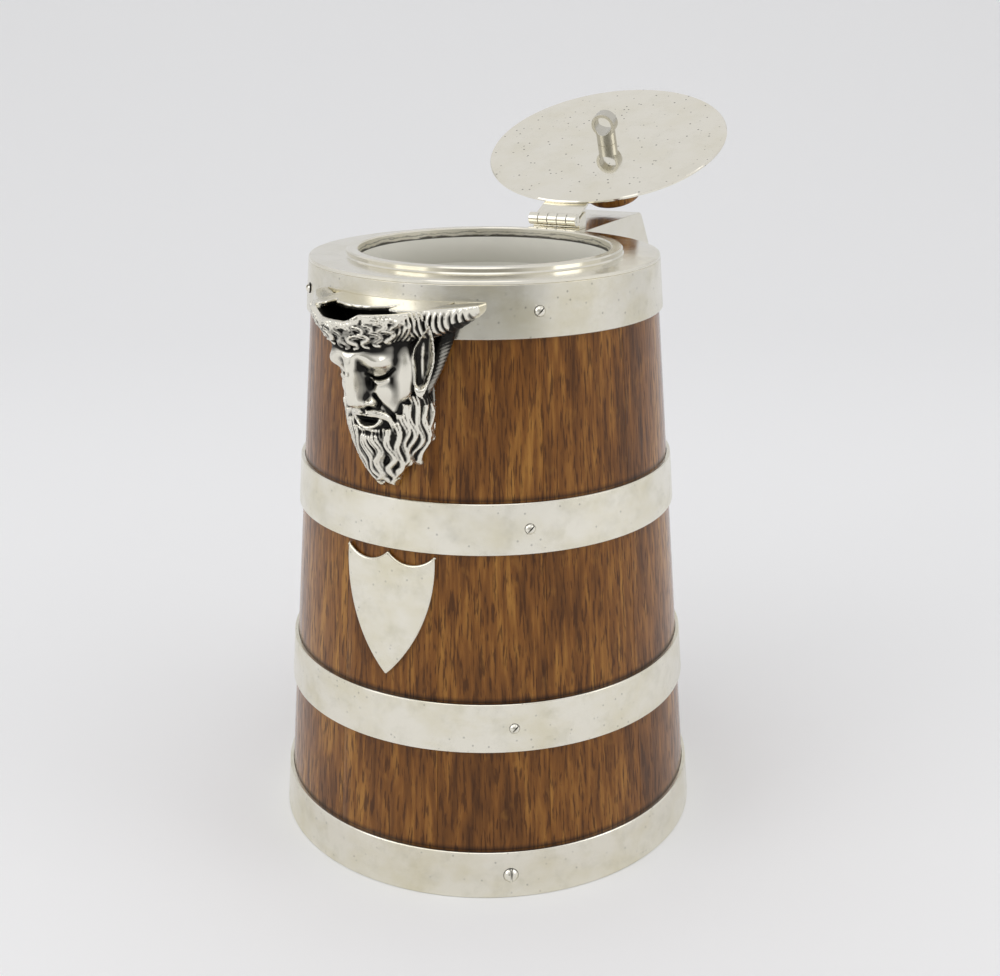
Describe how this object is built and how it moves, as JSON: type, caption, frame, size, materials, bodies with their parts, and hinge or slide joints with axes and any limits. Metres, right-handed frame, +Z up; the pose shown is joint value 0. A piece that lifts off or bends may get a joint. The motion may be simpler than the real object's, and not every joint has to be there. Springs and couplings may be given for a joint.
{
  "type": "lidded serving pitcher",
  "caption": "Tapering coopered oak serving pitcher with plated bands, a satyr mask pouring spout, a ceramic liner, an angular hollow handle and a hinged flat lid with a drum finial.",
  "frame": {"origin": "centre of the base on the pitcher's axis, in the plane that it stands on", "axes": "+Z up along the pitcher's axis, -Y towards the spout, +Y towards the handle and hinge, +X to the pourer's left seen from behind the handle's grip"},
  "size_m": [0.1747, 0.2801, 0.2848],
  "materials": {
    "oak": "fumed and varnished, glossy",
    "finial_oak": "varnished end grain",
    "plate": "polished silver plate",
    "rim_plate": "polished silver plate",
    "lid_plate": "polished silver plate, worn and pitted inside",
    "cast_mask": "cast and silver-plated, dark in the recesses",
    "fastener": "plated",
    "ceramic": "cream glazed"
  },
  "bodies": {
    "pitcher": {"stave_01": "oak", "stave_02": "oak", "stave_03": "oak", "stave_04": "oak", "stave_05": "oak", "stave_06": "oak", "stave_07": "oak", "stave_08": "oak", "stave_09": "oak", "stave_10": "oak", "stave_11": "oak", "stave_12": "oak", "base_board": "oak", "liner": "ceramic", "rim_plate": "rim_plate", "rim_band": "plate", "upper_hoop": "plate", "lower_hoop": "plate", "foot_hoop": "plate", "mask_spout": "cast_mask", "shield_plaque": "plate", "handle_shell": "plate", "handle_strap": "plate", "handle_foot": "plate", "hinge_base": "plate", "rim_screws": "fastener", "upper_hoop_screws": "fastener", "lower_hoop_screws": "fastener", "foot_hoop_screws": "fastener", "mask_pins": "fastener", "shield_pins": "fastener", "handle_foot_screws": "fastener", "hinge_pin": "fastener"},
    "lid": {"hinge_leaf": "plate", "lid_disc": "lid_plate", "finial": "finial_oak", "finial_stud": "fastener", "eye_nut": "plate"}
  },
  "joints": [
    {"name": "lid_hinge", "type": "hinge", "parent": "pitcher", "child": "lid", "pos_m": [0, 0.0675, 0.236], "axis": [1, 0, 0], "range_deg": [0, 157]}
  ]
}
